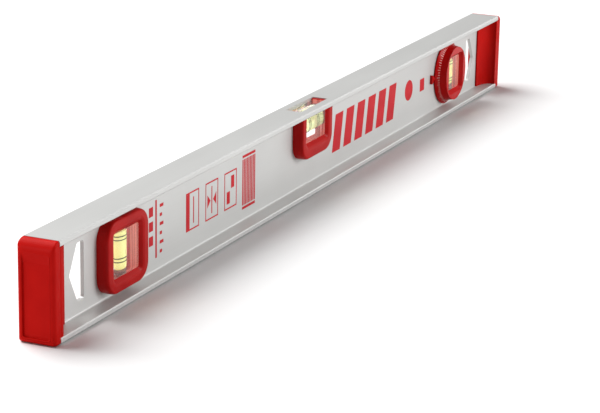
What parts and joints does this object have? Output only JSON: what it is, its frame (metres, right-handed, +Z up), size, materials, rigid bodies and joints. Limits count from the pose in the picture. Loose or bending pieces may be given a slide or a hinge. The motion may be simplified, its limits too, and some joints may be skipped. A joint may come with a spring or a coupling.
{
  "type": "spirit level",
  "caption": "I-section aluminium spirit level with red end caps, a plumb vial, a level vial also read from above, and a turning angle dial.",
  "frame": {"origin": "middle of the lower measuring face, under the centre of the beam", "axes": "+X runs along the beam towards the dial, -Y is the front face and +Z is up, away from the lower measuring face"},
  "size_m": [0.6, 0.02, 0.05],
  "materials": {
    "aluminium": "fine satin anodised extrusion with a faint draw grain along its length",
    "cap_red": "satin moulded red plastic",
    "housing_red": "satin moulded red plastic",
    "dial_red": "satin moulded dark red plastic",
    "pointer_red": "satin moulded red plastic",
    "acrylic": "polished clear acrylic",
    "vial_fluid": "clear yellow-green vial fluid",
    "vial_ring": "matt black marking band",
    "vial_plug": "satin grey-pink sealing plug",
    "rubber": "black nitrile rubber"
  },
  "bodies": {
    "level": {"beam": "aluminium", "left_end_cap": "cap_red", "right_end_cap": "cap_red", "plumb_front_frame": "housing_red", "plumb_rear_frame": "housing_red", "plumb_vial_block": "acrylic", "plumb_vial_plug": "vial_plug", "plumb_vial_fluid": "vial_fluid", "plumb_vial_rings": "vial_ring", "centre_front_frame": "housing_red", "centre_rear_frame": "housing_red", "centre_vial_block": "acrylic", "centre_vial_plug": "vial_plug", "centre_vial_fluid": "vial_fluid", "centre_vial_rings": "vial_ring", "dial_bearing_ring": "dial_red", "front_pointer": "pointer_red", "rear_pointer": "pointer_red"},
    "dial": {"dial_friction_ring": "rubber", "dial_front_shell": "dial_red", "dial_rear_shell": "dial_red", "dial_vial_block": "acrylic", "dial_vial_plug": "vial_plug", "dial_vial_fluid": "vial_fluid", "dial_vial_rings": "vial_ring"}
  },
  "joints": [
    {"name": "dial_turn", "type": "hinge", "parent": "level", "child": "dial", "pos_m": [0.2188, 0, 0.0253], "axis": [0, -1, 0], "continuous": true}
  ]
}
